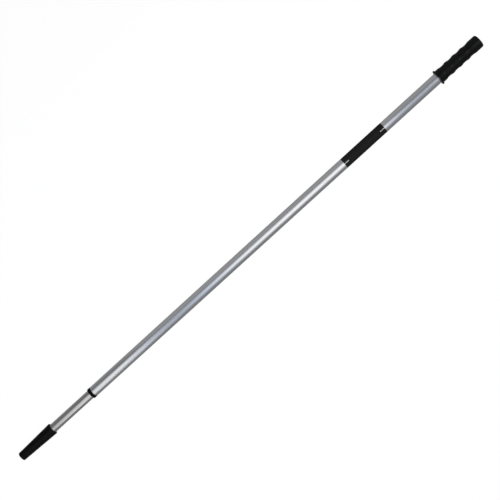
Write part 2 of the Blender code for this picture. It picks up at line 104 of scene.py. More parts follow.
class Paint:
    """A Principled material with a few helpers for its node tree."""

    def __init__(self, name, colour, roughness, metallic=0.0, **sockets):
        self.material = bpy.data.materials.new(name)
        self.material.use_nodes = True
        self.nodes = self.material.node_tree.nodes
        self.links = self.material.node_tree.links
        self.shader = self.nodes["Principled BSDF"]
        self.set("Base Color", (*colour, 1.0))
        self.set("Roughness", roughness)
        self.set("Metallic", metallic)
        for socket, value in sockets.items():
            self.set(socket.replace("_", " "), value)
        self.place = self.nodes.new("ShaderNodeTexCoord").outputs["Object"]

    def set(self, socket, value):
        self.shader.inputs[socket].default_value = value

    def stretched(self, scale):
        """Object coordinates scaled per axis, which stretches a pattern along the smaller scale."""
        mapping = self.nodes.new("ShaderNodeMapping")
        mapping.inputs["Scale"].default_value = scale
        self.links.new(self.place, mapping.inputs["Vector"])
        return mapping.outputs["Vector"]

    def noise(self, scale, detail=2.0, roughness=0.5, vector=None):
        texture = self.nodes.new("ShaderNodeTexNoise")
        texture.inputs["Scale"].default_value = scale
        texture.inputs["Detail"].default_value = detail
        texture.inputs["Roughness"].default_value = roughness
        self.links.new(vector or self.place, texture.inputs["Vector"])
        return texture.outputs["Fac"]

    def cells(self, scale, vector=None):
        texture = self.nodes.new("ShaderNodeTexVoronoi")
        texture.inputs["Scale"].default_value = scale
        self.links.new(vector or self.place, texture.inputs["Vector"])
        return texture.outputs["Distance"]

    def spread(self, source, low, high, start=0.3, end=0.7):
        """A value's range from start to end, mapped to low to high."""
        ranged = self.nodes.new("ShaderNodeMapRange")
        ranged.inputs["From Min"].default_value = start
        ranged.inputs["From Max"].default_value = end
        ranged.inputs["To Min"].default_value = low
        ranged.inputs["To Max"].default_value = high
        self.links.new(source, ranged.inputs["Value"])
        return ranged.outputs["Result"]

    def math(self, operation, first, second=None):
        node = self.nodes.new("ShaderNodeMath")
        node.operation = operation
        for socket, value in zip(node.inputs, (first, second)):
            if value is None:
                continue
            if isinstance(value, (int, float)):
                socket.default_value = value
            else:
                self.links.new(value, socket)
        return node.outputs["Value"]

    def mix_colour(self, factor, first, second):
        mix = self.nodes.new("ShaderNodeMix")
        mix.data_type = "RGBA"
        self.links.new(factor, mix.inputs["Factor"])
        for name, value in (("A", first), ("B", second)):
            socket = next(s for s in mix.inputs if s.name == name and s.type == "RGBA")
            if isinstance(value, tuple):
                socket.default_value = (*value, 1.0)
            else:
                self.links.new(value, socket)
        return next(s for s in mix.outputs if s.type == "RGBA")

    def drive(self, socket, output):
        self.links.new(output, self.shader.inputs[socket])

    def two_tone(self, pattern, low, high):
        """Lets a pattern shade the base colour between two close tones."""
        self.drive("Base Color", self.mix_colour(self.spread(pattern, 0.0, 1.0), low, high))

    def bump(self, height, distance, strength=1.0, under=None):
        bump = self.nodes.new("ShaderNodeBump")
        bump.inputs["Strength"].default_value = strength
        bump.inputs["Distance"].default_value = distance
        self.links.new(height, bump.inputs["Height"])
        if under:
            self.links.new(under, bump.inputs["Normal"])
        return bump.outputs["Normal"]


def drawn_metal(name, light, dark, roughness, streak_contrast):
    """Satin tube: fine drawing lines along its length, faint mottling and a few handling marks."""
    paint = Paint(name, light, roughness, 1.0, Specular_IOR_Level=0.5)
    lines = paint.noise(1.0, 3.0, 0.6, paint.stretched((3.0, 2600.0, 2600.0)))
    broad = paint.noise(1.0, 1.0, 0.5, paint.stretched((5.0, 260.0, 260.0)))
    mottle = paint.noise(38.0, 4.0, 0.6)
    scuffs = paint.noise(1.0, 5.0, 0.7, paint.stretched((90.0, 420.0, 420.0)))
    tone = paint.math("ADD", paint.math("MULTIPLY", lines, 0.6), paint.math("MULTIPLY", broad, 0.4))
    paint.two_tone(tone, dark, light)
    gloss = paint.spread(lines, roughness - streak_contrast, roughness + streak_contrast)
    gloss = paint.math("ADD", gloss, paint.spread(mottle, -0.015, 0.02))
    gloss = paint.math("ADD", gloss, paint.spread(scuffs, 0.0, 0.07, 0.62, 0.74))
    paint.drive("Roughness", gloss)
    paint.drive("Normal", paint.bump(lines, 0.000004, 0.35))
    return paint.material


def soft_grip_material():
    """Soft black vinyl: fine pebbled skin, a little duller where hands polish it less."""
    paint = Paint("soft_grip_vinyl", (0.0055, 0.0055, 0.0057), 0.4, Specular_IOR_Level=0.21)
    handled = paint.noise(24.0, 3.0, 0.55)
    pebbles = paint.cells(1500.0)
    grain = paint.noise(2600.0, 2.0, 0.6)
    paint.two_tone(handled, (0.0042, 0.0042, 0.0044), (0.0066, 0.0066, 0.0069))
    paint.drive("Roughness", paint.spread(handled, 0.33, 0.45))
    skin = paint.bump(pebbles, 0.00006, 0.35)
    paint.drive("Normal", paint.bump(grain, 0.00003, 0.3, skin))
    return paint.material


def moulding_material(name, tone, roughness):
    """Black moulded plastic with a spark-eroded texture and faint flow marks along the pole."""
    paint = Paint(name, (tone, tone, tone), roughness, Specular_IOR_Level=0.11)
    flow = paint.noise(1.0, 3.0, 0.5, paint.stretched((25.0, 160.0, 160.0)))
    erosion = paint.noise(3400.0, 3.0, 0.65)
    paint.two_tone(flow, (tone * 0.75,) * 3, (tone * 1.5,) * 3)
    paint.drive("Roughness", paint.spread(flow, roughness - 0.05, roughness + 0.06))
    paint.drive("Normal", paint.bump(erosion, 0.00003, 0.45))
    return paint.material


def label_material():
    """Black printed film, with fine rubbing along the pole."""
    paint = Paint("label_film", (0.023, 0.023, 0.0233), 0.62, Specular_IOR_Level=0.05)
    rubbed = paint.noise(1.0, 4.0, 0.65, paint.stretched((60.0, 900.0, 900.0)))
    ink = paint.noise(700.0, 2.0, 0.5)
    paint.two_tone(ink, (0.0215, 0.0215, 0.0218), (0.025, 0.025, 0.0254))
    paint.drive("Roughness", paint.spread(rubbed, 0.52, 0.66))
    paint.drive("Normal", paint.bump(ink, 0.000006, 0.3))
    return paint.material


def silver_ink_material():
    """The pale print of the dashes, slightly uneven."""
    paint = Paint("silver_ink", (0.72, 0.73, 0.74), 0.45, 0.35, Specular_IOR_Level=0.5)
    speckle = paint.noise(1800.0, 2.0, 0.6)
    paint.two_tone(speckle, (0.6, 0.61, 0.62), (0.82, 0.83, 0.84))
    paint.drive("Roughness", paint.spread(speckle, 0.4, 0.55))
    return paint.material


def nylon_material():
    """Unpigmented nylon: waxy, a little see-through, with faint flow clouds."""
    paint = Paint(
        "natural_nylon",
        (0.7, 0.68, 0.6),
        0.42,
        Subsurface_Weight=0.25,
        Subsurface_Scale=0.0015,
        Specular_IOR_Level=0.45,
    )
    cloud = paint.noise(130.0, 3.0, 0.55)
    grain = paint.noise(2400.0, 2.0, 0.6)
    paint.two_tone(cloud, (0.63, 0.6, 0.51), (0.76, 0.74, 0.66))
    paint.drive("Roughness", paint.spread(cloud, 0.36, 0.5))
    paint.drive("Normal", paint.bump(grain, 0.00002, 0.35))
    return paint.material


def zinc_material():
    """Bright zinc plating: blue-white with a faint straw cast in patches."""
    paint = Paint("zinc_plating", (0.62, 0.63, 0.64), 0.28, 1.0, Specular_IOR_Level=0.5)
    cast = paint.noise(420.0, 3.0, 0.6)
    crystals = paint.cells(5200.0)
    paint.two_tone(cast, (0.55, 0.58, 0.62), (0.68, 0.66, 0.58))
    paint.drive("Roughness", paint.spread(cast, 0.22, 0.36))
    paint.drive("Normal", paint.bump(crystals, 0.000008, 0.3))
    return paint.material


OUTER_METAL = drawn_metal("satin_aluminium", (0.91, 0.92, 0.94), (0.85, 0.86, 0.885), 0.25, 0.03)
INNER_METAL = drawn_metal("drawn_aluminium", (0.79, 0.785, 0.785), (0.69, 0.685, 0.685), 0.22, 0.05)
SOFT_GRIP = soft_grip_material()
BLACK_MOULDING = moulding_material("black_moulding", 0.005, 0.36)
TAPER_MOULDING = moulding_material("taper_moulding", 0.0058, 0.34)
LABEL_FILM = label_material()
SILVER_INK = silver_ink_material()
NATURAL_NYLON = nylon_material()
ZINC = zinc_material()

# ---- mesh helpers ---------------------------------------------------------------------------

SMOOTH_BELOW = math.radians(32)
EPSILON = 1e-7


def unit(a, b):
    length = math.dist(a, b)
    return (b[0] - a[0]) / length, (b[1] - a[1]) / length


def fillet_arc(before, here, after, radius, segments):
    """Points of the arc that rounds off the corner at here."""
    back, ahead = unit(here, before), unit(here, after)
    half = math.acos(max(-1.0, min(1.0, back[0] * ahead[0] + back[1] * ahead[1]))) / 2
    middle = (back[0] + ahead[0], back[1] + ahead[1])
    reach = radius / math.sin(half) / math.hypot(*middle)
    centre = tuple(here[k] + middle[k] * reach for k in (0, 1))
    tangent = radius / math.tan(half)
    start = tuple(here[k] + back[k] * tangent for k in (0, 1))
    end = tuple(here[k] + ahead[k] * tangent for k in (0, 1))
    angle = math.atan2(start[1] - centre[1], start[0] - centre[0])
    turn = math.atan2(end[1] - centre[1], end[0] - centre[0]) - angle
    turn = (turn + math.pi) % (2 * math.pi) - math.pi
    steps = [angle + turn * step / segments for step in range(segments + 1)]
    return [(centre[0] + radius * math.cos(a), centre[1] + radius * math.sin(a)) for a in steps]


def rounded(corners, segments=6):
    """A profile from corners (x, radius), with a fillet radius as a third number if it has one."""
    points = []
    for index, corner in enumerate(corners):
        if len(corner) == 2:
            points.append(corner)
            continue
        before = corners[index - 1][:2]
        after = corners[(index + 1) % len(corners)][:2]
        points += fillet_arc(before, corner[:2], after, corner[2], segments)
    return points


def even_angles(count):
    return [2 * math.pi * index / count for index in range(count)]


PARTING_HALF_WIDTH = math.radians(1.0)
# Height of each moulding's parting line, and how far it keeps from the moulding's ends.
COLLAR_PARTING, COLLAR_PARTING_GAP = 0.00005, 0.0005
TAPER_PARTING, TAPER_PARTING_FRONT, TAPER_PARTING_BACK = 0.00006, 0.003, 0.002
GRIP_PARTING, GRIP_PARTING_FRONT = 0.00004, 0.006


def moulded_angles(count):
    """Even angles, with more of them where the two halves of the mould met."""
    seams = [
        side * math.pi / 2 + offset * PARTING_HALF_WIDTH for side in (1, 3) for offset in (-1, 1)
    ]
    return sorted(even_angles(count) + seams)


def parting_line(height):
    """A thin raised line along both sides of a moulding, at right angles to the mould's pull."""

    def rise(angle):
        from_seam = (angle + math.pi / 2) % math.pi
        from_seam = min(from_seam, math.pi - from_seam)
        return height if from_seam < PARTING_HALF_WIDTH / 2 else 0.0

    return rise


def ring_point(x, radius, angle):
    """A point round the pole's axis. Angle 0 is at the top and a quarter turn is at -Y."""
    return Vector((x, -radius * math.sin(angle), AXIS_HEIGHT + radius * math.cos(angle)))


def spun(name, profile, angles, closed=False, rise=None, rise_over=None):
    """A turned mesh. An open profile starts and ends on the axis; a closed one is a ring's section.

    Where rise_over(x, radius) holds, rise(angle) is added to the radius.
    """
    shape = bmesh.new()
    rings = []
    for x, radius in profile:
        if radius < EPSILON:
            rings.append([shape.verts.new((x, 0, AXIS_HEIGHT))])
            continue
        raised = rise if rise and (rise_over is None or rise_over(x, radius)) else None
        ring = [
            shape.verts.new(ring_point(x, radius + (raised(angle) if raised else 0.0), angle))
            for angle in angles
        ]
        rings.append(ring)
    following = rings[1:] + rings[:1] if closed else rings[1:]
    count = len(angles)
    for first, second in zip(rings, following):
        for index in range(count):
            after = (index + 1) % count
            corners = [first[index % len(first)], first[after % len(first)]]
            corners += [second[after % len(second)], second[index % len(second)]]
            unique = list(dict.fromkeys(corners))
            if len(unique) > 2:
                shape.faces.new(unique)
    bmesh.ops.recalc_face_normals(shape, faces=shape.faces)
    return as_object(name, shape)


def as_object(name, shape):
    mesh = bpy.data.meshes.new(name)
    shape.to_mesh(mesh)
    shape.free()
    smooth(mesh)
    obj = bpy.data.objects.new(name, mesh)
    bpy.context.scene.collection.objects.link(obj)
    return obj


def smooth(mesh):
    mesh.shade_smooth()
    mesh.set_sharp_from_angle(angle=SMOOTH_BELOW)


def boolean(obj, other, operation="DIFFERENCE"):
    """Cuts, joins or intersects obj with other, applies the result and removes other."""
    modifier = obj.modifiers.new("boolean", "BOOLEAN")
    modifier.operation = operation
    modifier.solver = "EXACT"
    modifier.object = other
    graph = bpy.context.evaluated_depsgraph_get()
    result = bpy.data.meshes.new_from_object(obj.evaluated_get(graph))
    obj.modifiers.clear()
    obj.data = result
    bpy.data.objects.remove(other)
    smooth(result)
    return obj


def block(name, size, centre, turn=Matrix.Identity(3)):
    shape = bmesh.new()
    bmesh.ops.create_cube(shape, size=1.0)
    bmesh.ops.scale(shape, vec=size, verts=shape.verts)
    bmesh.ops.rotate(shape, cent=(0, 0, 0), matrix=turn, verts=shape.verts)
    bmesh.ops.translate(shape, vec=centre, verts=shape.verts)
    return as_object(name, shape)


def finished(obj, material, body, slot, *nodes):
    """Gives a piece its finish and its body, and hides the CAD nodes that it stands for."""
    obj.data.materials.clear()
    obj.data.materials.append(material)
    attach(obj, body)
    if nodes:
        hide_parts(*nodes)
    return obj


# ---- outer section --------------------------------------------------------------------------

FINE, MEDIUM, SMALL = 128, 96, 48


def make_outer_tube():
    edge = 0.0002
    corners = [
        (TUBE_MOUTH, OUTER_RADIUS, edge),
        (OUTER_TUBE_END, OUTER_RADIUS, edge),
        (OUTER_TUBE_END, OUTER_BORE, edge),
        (TUBE_MOUTH, OUTER_BORE, edge),
    ]
    tube = spun("satin_outer_tube", rounded(corners, 4), even_angles(FINE), closed=True)
    finished(tube, OUTER_METAL, "outer_section", "outer_metal", "outer_tube")


def make_guide_collar():
    mouth = COLLAR_FACE + COLLAR_RIM_LENGTH
    sleeve = OUTER_BORE - FIT_GAP
    corners = [
        (COLLAR_SLEEVE_END, ROUND_INNER, 0.0002),
        (COLLAR_FACE, ROUND_INNER, 0.0004),
        (COLLAR_FACE, COLLAR_RIM_RADIUS, 0.0012),
        (mouth, COLLAR_RIM_RADIUS, 0.0003),
        (mouth, sleeve),
        (COLLAR_SLEEVE_END, sleeve, 0.0003),
    ]
    collar = spun(
        "guide_collar",
        rounded(corners, 7),
        moulded_angles(FINE),
        closed=True,
        rise=parting_line(COLLAR_PARTING),
        rise_over=lambda x, radius: radius > OUTER_RADIUS and x < mouth - COLLAR_PARTING_GAP,
    )
    finished(collar, BLACK_MOULDING, "outer_section", "black_moulding", "end_collar")


LABEL_BASE = OUTER_RADIUS + 0.00003
LABEL_FILM_THICKNESS = 0.00008
LABEL_OVERLAP, LABEL_LAP_LIFT = math.radians(16), 1.15  # the lift is in film thicknesses
LABEL_CORNER = 0.0012
DASH_LENGTH, DASH_WIDTH, DASH_THICKNESS = 0.0115, 0.0016, 0.000015
DASH_ANGLE, DASH_FROM_EDGE, DASH_TIP = math.radians(8), 0.0002, 0.9


def make_label():
    """One strip of film wrapped round the tube, whose free end laps over its start underneath."""
    steps = FINE
    shape = bmesh.new()
    turn = 2 * math.pi + LABEL_OVERLAP
    rows = []
    for index in range(steps + 1):
        share = index / steps
        angle = math.pi - LABEL_OVERLAP / 2 + share * turn
        lap = max(0.0, share * turn - 2 * math.pi + LABEL_OVERLAP)
        lift = LABEL_FILM_THICKNESS * LABEL_LAP_LIFT * smoothstep(lap / LABEL_OVERLAP)
        inset = corner_inset(min(share, 1 - share) * 2 * math.pi * LABEL_BASE, LABEL_CORNER)
        bottom = LABEL_BASE + lift
        row = []
        for x in (LABEL_START + inset, LABEL_END - inset):
            row.append(shape.verts.new(ring_point(x, bottom, angle)))
            row.append(shape.verts.new(ring_point(x, bottom + LABEL_FILM_THICKNESS, angle)))
        rows.append(row)
    for first, second in zip(rows, rows[1:]):
        for a, b in ((0, 1), (1, 3), (3, 2), (2, 0)):
            shape.faces.new((first[a], first[b], second[b], second[a]))
    for row in (rows[0], rows[-1]):
        shape.faces.new((row[0], row[1], row[3], row[2]))
    bmesh.ops.recalc_face_normals(shape, faces=shape.faces)
    film = as_object("label_film_band", shape)
    finished(film, LABEL_FILM, "outer_section", "label_film", "wrap_label")


def smoothstep(value):
    value = max(0.0, min(1.0, value))
    return value * value * (3 - 2 * value)


def corner_inset(distance, radius):
    """How far a rounded corner draws the strip's edge in, at a distance from the strip's end."""
    if distance >= radius:
        return 0.0
    return radius - math.sqrt(radius * radius - (radius - distance) ** 2)


def make_label_dashes():
    """The two printed dashes, each from the label's end inwards, as thin curved patches."""
    across, along = 6, 16
    half_angle = DASH_WIDTH / 2 / LABEL_RADIUS
    for name, start, direction in (("near", LABEL_START, 1), ("far", LABEL_END, -1)):
        shape = bmesh.new()
        layers = []
        for lift in (LABEL_FILM_THICKNESS, LABEL_FILM_THICKNESS + DASH_THICKNESS):
            grid = []
            for i in range(along + 1):
                x = start + direction * (DASH_FROM_EDGE + DASH_LENGTH * i / along)
                end_taper = corner_inset(DASH_LENGTH * (1 - i / along), DASH_WIDTH / 2)
                narrow = 1 - end_taper / (DASH_WIDTH / 2) * DASH_TIP
                grid.append(
                    [
                        shape.verts.new(
                            ring_point(
                                x,
                                LABEL_BASE + lift,
                                DASH_ANGLE + half_angle * narrow * (2 * j / across - 1),
                            )
                        )
                        for j in range(across + 1)
                    ]
                )
            layers.append(grid)
        close_patch(shape, layers)
        dash = as_object(f"label_dash_{name}", shape)
        finished(dash, SILVER_INK, "outer_section", "label_film")


def close_patch(shape, layers):
    """Faces of a thin curved patch from its lower and upper grids."""
    for grid in layers:
        for first, second in zip(grid, grid[1:]):
            for j in range(len(first) - 1):
                shape.faces.new((first[j], first[j + 1], second[j + 1], second[j]))
    low, high = (outline(grid) for grid in layers)
    count = len(low)
    for i in range(count):
        shape.faces.new((low[i], low[(i + 1) % count], high[(i + 1) % count], high[i]))
    bmesh.ops.recalc_face_normals(shape, faces=shape.faces)


def outline(grid):
    """A grid's border, once round."""
    border = list(grid[0])
    border += [row[-1] for row in grid[1:]]
    border += grid[-1][-2::-1]
    border += [row[0] for row in grid[-2:0:-1]]
    return border


def finger_radius(from_flange):
    """Radius of the finger waves: wide valleys between narrower crests."""
    phase = (from_flange - FIRST_VALLEY) / FINGER_PITCH * 2 * math.pi
    rise = ((1 - math.cos(phase)) / 2) ** CREST_SHARPNESS
    return GRIP_VALLEY_RADIUS + (GRIP_CREST_RADIUS - GRIP_VALLEY_RADIUS) * rise


def make_finger_grip():
    waves_start = FIRST_VALLEY - FINGER_PITCH / 2
    waves_end = waves_start + FINGER_COUNT * FINGER_PITCH
    samples = FINGER_COUNT * 22
    step = (waves_end - waves_start) / samples
    waves = [waves_start + step * index for index in range(samples + 1)]
    cavity = OUTER_RADIUS + FIT_GAP
    cavity_end = BUTT_END - GRIP_END_WALL
    flange_back, neck = FLANGE_FACE + 0.0028, FLANGE_FACE + 0.0040
    end_dish, dish_edge, dish_floor = 0.0004, 0.0068, 0.0062
    front = rounded(
        [
            (FLANGE_FACE, cavity),
            (FLANGE_FACE, FLANGE_RADIUS, 0.0009),
            (flange_back, FLANGE_RADIUS, 0.0009),
            (neck, GRIP_CREST_RADIUS, 0.0022),
            (FLANGE_FACE + waves_start, GRIP_CREST_RADIUS),
        ]
    )[:-1]
    side = [(FLANGE_FACE + x, finger_radius(x)) for x in waves]
    back = rounded(
        [
            (FLANGE_FACE + waves_end, GRIP_END_RADIUS),
            (BUTT_END, GRIP_END_RADIUS, 0.0034),
            (BUTT_END, dish_edge, 0.0005),
            (BUTT_END - end_dish, dish_floor, 0.0005),
            (BUTT_END - end_dish, 0.0),
        ],
        10,
    )[1:]
    profile = [(cavity_end, 0.0), (cavity_end, cavity), *front, *side, *back]
    grip = spun(
        "finger_grip",
        profile,
        moulded_angles(FINE),
        rise=parting_line(GRIP_PARTING),
        rise_over=on_grip_outside,
    )
    finished(grip, SOFT_GRIP, "outer_section", "soft_grip", "hand_grip")


def on_grip_outside(x, radius):
    return radius > OUTER_RADIUS + 0.001 and x > FLANGE_FACE + GRIP_PARTING_FRONT


def make_butt_cap():
    head, wall = 0.002, 0.0018
    under = BUTT_PLUG_END - head
    sleeve = OUTER_BORE - FIT_GAP
    barbs = []
    barb_count, barb_pitch, barb_land, barb_sink, first_barb = 4, 0.003, 0.0004, 0.0004, 0.0015
    for index in range(barb_count):
        x = under - first_barb - index * barb_pitch
        barbs += [(x, sleeve), (x - barb_land, sleeve), (x - barb_pitch + 0.0002, sleeve - barb_sink)]
    profile = rounded(
        [
            (BUTT_PLUG_END, 0.0),
            (BUTT_PLUG_END, BUTT_PLUG_RADIUS, 0.0005),
            (under, BUTT_PLUG_RADIUS),
            (under, sleeve - 0.0003),
            *barbs,
            (BUTT_PLUG_START, sleeve - 0.0006),
            (BUTT_PLUG_START, sleeve - wall),
            (under, sleeve - wall, 0.0004),
            (under, 0.0),
        ],
        4,
    )
    cap = spun("butt_cap", profile, even_angles(MEDIUM))
    finished(cap, BLACK_MOULDING, "outer_section", "black_moulding", "butt_plug")


# ---- inner section --------------------------------------------------------------------------

CRIMP_DEPTHS = (0.009, 0.020)
CRIMP_SINK, CRIMP_HALF_WIDTH = 0.0006, 0.002


def crimped(radius):
    """One side of the inner tube near its lock end, with its two rolled grooves."""
    points = []
    samples = 10
    for depth in sorted(CRIMP_DEPTHS, reverse=True):
        middle = INNER_END - depth
        for index in range(samples + 1):
            offset = (2 * index / samples - 1) * CRIMP_HALF_WIDTH
            sink = CRIMP_SINK * (1 + math.cos(math.pi * offset / CRIMP_HALF_WIDTH)) / 2
            points.append((middle + offset, radius - sink))
    return points


def screw_hole(radius, inner, outer):
    """A cylinder through the underside of the taper, at the screw."""
    shape = bmesh.new()
    bmesh.ops.create_cone(
        shape, cap_ends=True, segments=40, radius1=radius, radius2=radius, depth=outer - inner
    )
    centre = (TAPER_BASE - SCREW_FROM_BASE, 0, AXIS_HEIGHT - (outer + inner) / 2)
    bmesh.ops.translate(shape, vec=centre, verts=shape.verts)
    return as_object("screw_hole", shape)


def make_inner_tube():
    edge = 0.00018
    outside = [
        (INNER_START, INNER_RADIUS, edge),
        *crimped(INNER_RADIUS),
        (INNER_END, INNER_RADIUS, edge),
    ]
    inside = [
        (INNER_END, INNER_BORE, edge),
        *crimped(INNER_BORE)[::-1],
        (INNER_START, INNER_BORE, edge),
    ]
    tube = spun("drawn_inner_tube", rounded(outside + inside, 4), even_angles(FINE), closed=True)
    boolean(tube, screw_hole(SHANK_HOLE_RADIUS, SPIGOT_BORE, INNER_RADIUS * 1.2))
    finished(tube, INNER_METAL, "inner_section", "inner_metal", "inner_tube")


def taper_radius(share):
    """Outside radius of the taper, at a share of its length from the small end."""
    return TAPER_END_RADIUS + (TAPER_BASE_RADIUS - TAPER_END_RADIUS) * share**TAPER_SWELL


def on_taper_outside(x, radius):
    inside_ends = TAPER_END + TAPER_PARTING_FRONT < x < TAPER_BASE - TAPER_PARTING_BACK
    return inside_ends and radius > ROUND_INNER


def make_roller_taper():
    length = TAPER_BASE - TAPER_END
    socket_floor = TAPER_BASE - SOCKET_DEPTH
    spigot_end = socket_floor + SPIGOT_LENGTH
    spigot_radius = INNER_BORE - FIT_GAP
    samples = 24
    side = [
        (TAPER_END + length * i / samples, taper_radius(i / samples)) for i in range(1, samples)
    ]
    nose_dish, dish_radius = 0.0003, 0.0042
    corners = [
        (TAPER_END + nose_dish, 0.0),
        (TAPER_END + nose_dish, dish_radius - 0.0005, 0.0003),
        (TAPER_END, dish_radius, 0.0003),
        (TAPER_END, TAPER_END_RADIUS, 0.0015),
        *side,
        (TAPER_BASE, TAPER_BASE_RADIUS, 0.0009),
        (TAPER_BASE, ROUND_INNER, 0.0004),
        (socket_floor, ROUND_INNER),
        (socket_floor, spigot_radius),
        (spigot_end, spigot_radius, 0.0006),
        (spigot_end, SPIGOT_BORE, 0.0003),
        (TAPER_END + TAPER_NOSE_WALL, SPIGOT_BORE, 0.0008),
        (TAPER_END + TAPER_NOSE_WALL, 0.0),
    ]
    taper = spun(
        "roller_taper",
        rounded(corners),
        moulded_angles(FINE),
        rise=parting_line(TAPER_PARTING),
        rise_over=on_taper_outside,
    )
    boolean(taper, screw_hole(SCREW_HOLE_RADIUS, SCREW_SEAT, OUTER_RADIUS * 1.5))
    boolean(taper, screw_hole(SHANK_HOLE_RADIUS, SPIGOT_BORE - 0.002, SCREW_SEAT + 0.0005))
    finished(taper, TAPER_MOULDING, "inner_section", "taper_moulding", "taper_tip")


RINGS_PER_TURN = 8
ROOT_SHARE, FLANK_SHARE = 0.12, 0.76  # of half a pitch: the flat root, then the sloping flank
POINT_TIP_SHARE = 0.06  # how blunt a screw's point is, as a share of its radius


def helix_rod(name, start, end, radius, depth, pitch, steps, point=0.0):
    """A threaded rod along +X: each ring's radius follows the thread's wave round the rod."""
    length = end - start
    rings = round(length / pitch * RINGS_PER_TURN)
    shape = bmesh.new()
    made = []
    for i in range(rings + 1):
        x = start + length * i / rings
        taper = 1.0
        if point:
            taper = min(1.0, max(POINT_TIP_SHARE, (x - start) / point))
        ring = []
        for angle in even_angles(steps):
            phase = (x / pitch - angle / (2 * math.pi)) % 1.0
            wave = abs(2 * phase - 1)
            wave = smoothstep((wave - ROOT_SHARE) / FLANK_SHARE)
            run_out = smoothstep((end - x) / pitch) if i < rings else 0.0
            local = (radius - depth * (1 - wave * run_out)) * taper
            ring.append(shape.verts.new((x, local * math.sin(angle), local * math.cos(angle))))
        made.append(ring)
    for first, second in zip(made, made[1:]):
        for j in range(steps):
            k = (j + 1) % steps
            shape.faces.new((first[j], first[k], second[k], second[j]))
    for ring in (made[0], made[-1]):
        shape.faces.new(ring)
    bmesh.ops.recalc_face_normals(shape, faces=shape.faces)
    return as_object(name, shape)


def make_taper_screw():
    """A pan-head self-tapping screw: domed head, cross recess, and a coarse thread to a point."""
    low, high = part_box("tip_screw")
    head_radius = (high.y - low.y) / 2
    top = AXIS_HEIGHT - low.z
    tip = AXIS_HEIGHT - high.z
    seat = SCREW_SEAT + 0.0003
    shank, pitch, depth, point = 0.00145, 0.0009, 0.0003, 0.0012
    overlap = 0.0002
    thread = helix_rod("screw_thread", tip, seat + overlap, shank, depth, pitch, 24, point=point)
    dome = 0.0004
    recess_depth, recess_across, recess_width = 0.0016, 0.0031, 0.0006
    head_profile = rounded(
        [
            (seat, 0.0),
            (seat, head_radius, 0.0001),
            (top - dome, head_radius, 0.0003),
            (top, head_radius * 0.45, 0.0012),
            (top, 0.0),
        ],
        5,
    )
    head = spun("taper_screw", head_profile, even_angles(SMALL))
    head.data.transform(Matrix.Translation((0, 0, -AXIS_HEIGHT)))
    boolean(head, thread, "UNION")
    for turn in (0, math.pi / 2):
        wing = block(
            "cross_wing",
            (recess_depth, recess_across, recess_width),
            (top, 0, 0),
            Matrix.Rotation(turn, 3, "X"),
        )
        boolean(head, wing)
    quarter = Matrix.Rotation(math.pi / 2, 4, "Y")
    place = Matrix.Translation((TAPER_BASE - SCREW_FROM_BASE, 0, AXIS_HEIGHT))
    head.data.transform(place @ quarter)
    finished(head, ZINC, "inner_section", "zinc_steel", "tip_screw")


# ---- twist lock -----------------------------------------------------------------------------

GROOVE_RADIUS, GROOVE_FLOOR_HALF, GROOVE_HALF_WIDTH = 0.0078, 0.0012, 0.0032


def make_crimp_plug():
    shoulder, stud_end_gap = INNER_END + 0.0003, 0.0003
    plug_radius = INNER_BORE - FIT_GAP
    grooves = []
    for depth in sorted(CRIMP_DEPTHS, reverse=True):
        middle = INNER_END - depth
        grooves += [
            (middle - GROOVE_HALF_WIDTH, plug_radius, 0.0004),
            (middle - GROOVE_FLOOR_HALF, GROOVE_RADIUS, 0.0004),
            (middle + GROOVE_FLOOR_HALF, GROOVE_RADIUS, 0.0004),
            (middle + GROOVE_HALF_WIDTH, plug_radius, 0.0004),
        ]
    shoulder_middle = (shoulder + PLUG_END) / 2
    rib, rib_sink = 0.0006, 0.0005
    corners = [
        (PLUG_START, 0.0),
        (PLUG_START, plug_radius, 0.0008),
        *grooves,
        (shoulder, plug_radius),
        (shoulder, PLUG_RADIUS, 0.0005),
        (shoulder_middle - rib, PLUG_RADIUS, 0.0001),
        (shoulder_middle - rib / 2, PLUG_RADIUS - rib_sink, 0.0001),
        (shoulder_middle + rib / 2, PLUG_RADIUS - rib_sink, 0.0001),
        (shoulder_middle + rib, PLUG_RADIUS, 0.0001),
        (PLUG_END, PLUG_RADIUS, 0.0005),
        (PLUG_END, STUD_HOLE, 0.0003),
        (STUD_START - stud_end_gap, STUD_HOLE),
        (STUD_START - stud_end_gap, 0.0),
    ]
    plug = spun("crimp_plug", rounded(corners, 5), even_angles(MEDIUM))
    finished(plug, NATURAL_NYLON, "inner_section", "natural_nylon", "lock_plug")


def make_threaded_stud():
    chamfer, clear = 0.0006, 0.0001
    stud = helix_rod(
        "threaded_stud", STUD_START, STUD_END, STUD_RADIUS, THREAD_DEPTH, STUD_PITCH, 32
    )
    stud.data.transform(Matrix.Translation((0, 0, AXIS_HEIGHT)))
    envelope = [
        (STUD_START, 0.0),
        (STUD_START, STUD_RADIUS - chamfer),
        (STUD_START + chamfer, STUD_RADIUS + clear),
        (STUD_END - chamfer, STUD_RADIUS + clear),
        (STUD_END, STUD_RADIUS - chamfer),
        (STUD_END, 0.0),
    ]
    boolean(stud, spun("stud_envelope", envelope, even_angles(SMALL)), "INTERSECT")
    finished(stud, ZINC, "inner_section", "zinc_steel", "lock_stud")


def make_washer(name, node):
    start, end, radius = span(node)
    edge = 0.0002
    corners = [
        (start, STUD_HOLE, edge),
        (start, radius, edge),
        (end, radius, edge / 2),
        (end, STUD_HOLE, edge / 2),
    ]
    washer = spun(name, rounded(corners, 4), even_angles(MEDIUM), closed=True)
    finished(washer, ZINC, "inner_section", "zinc_steel", node)


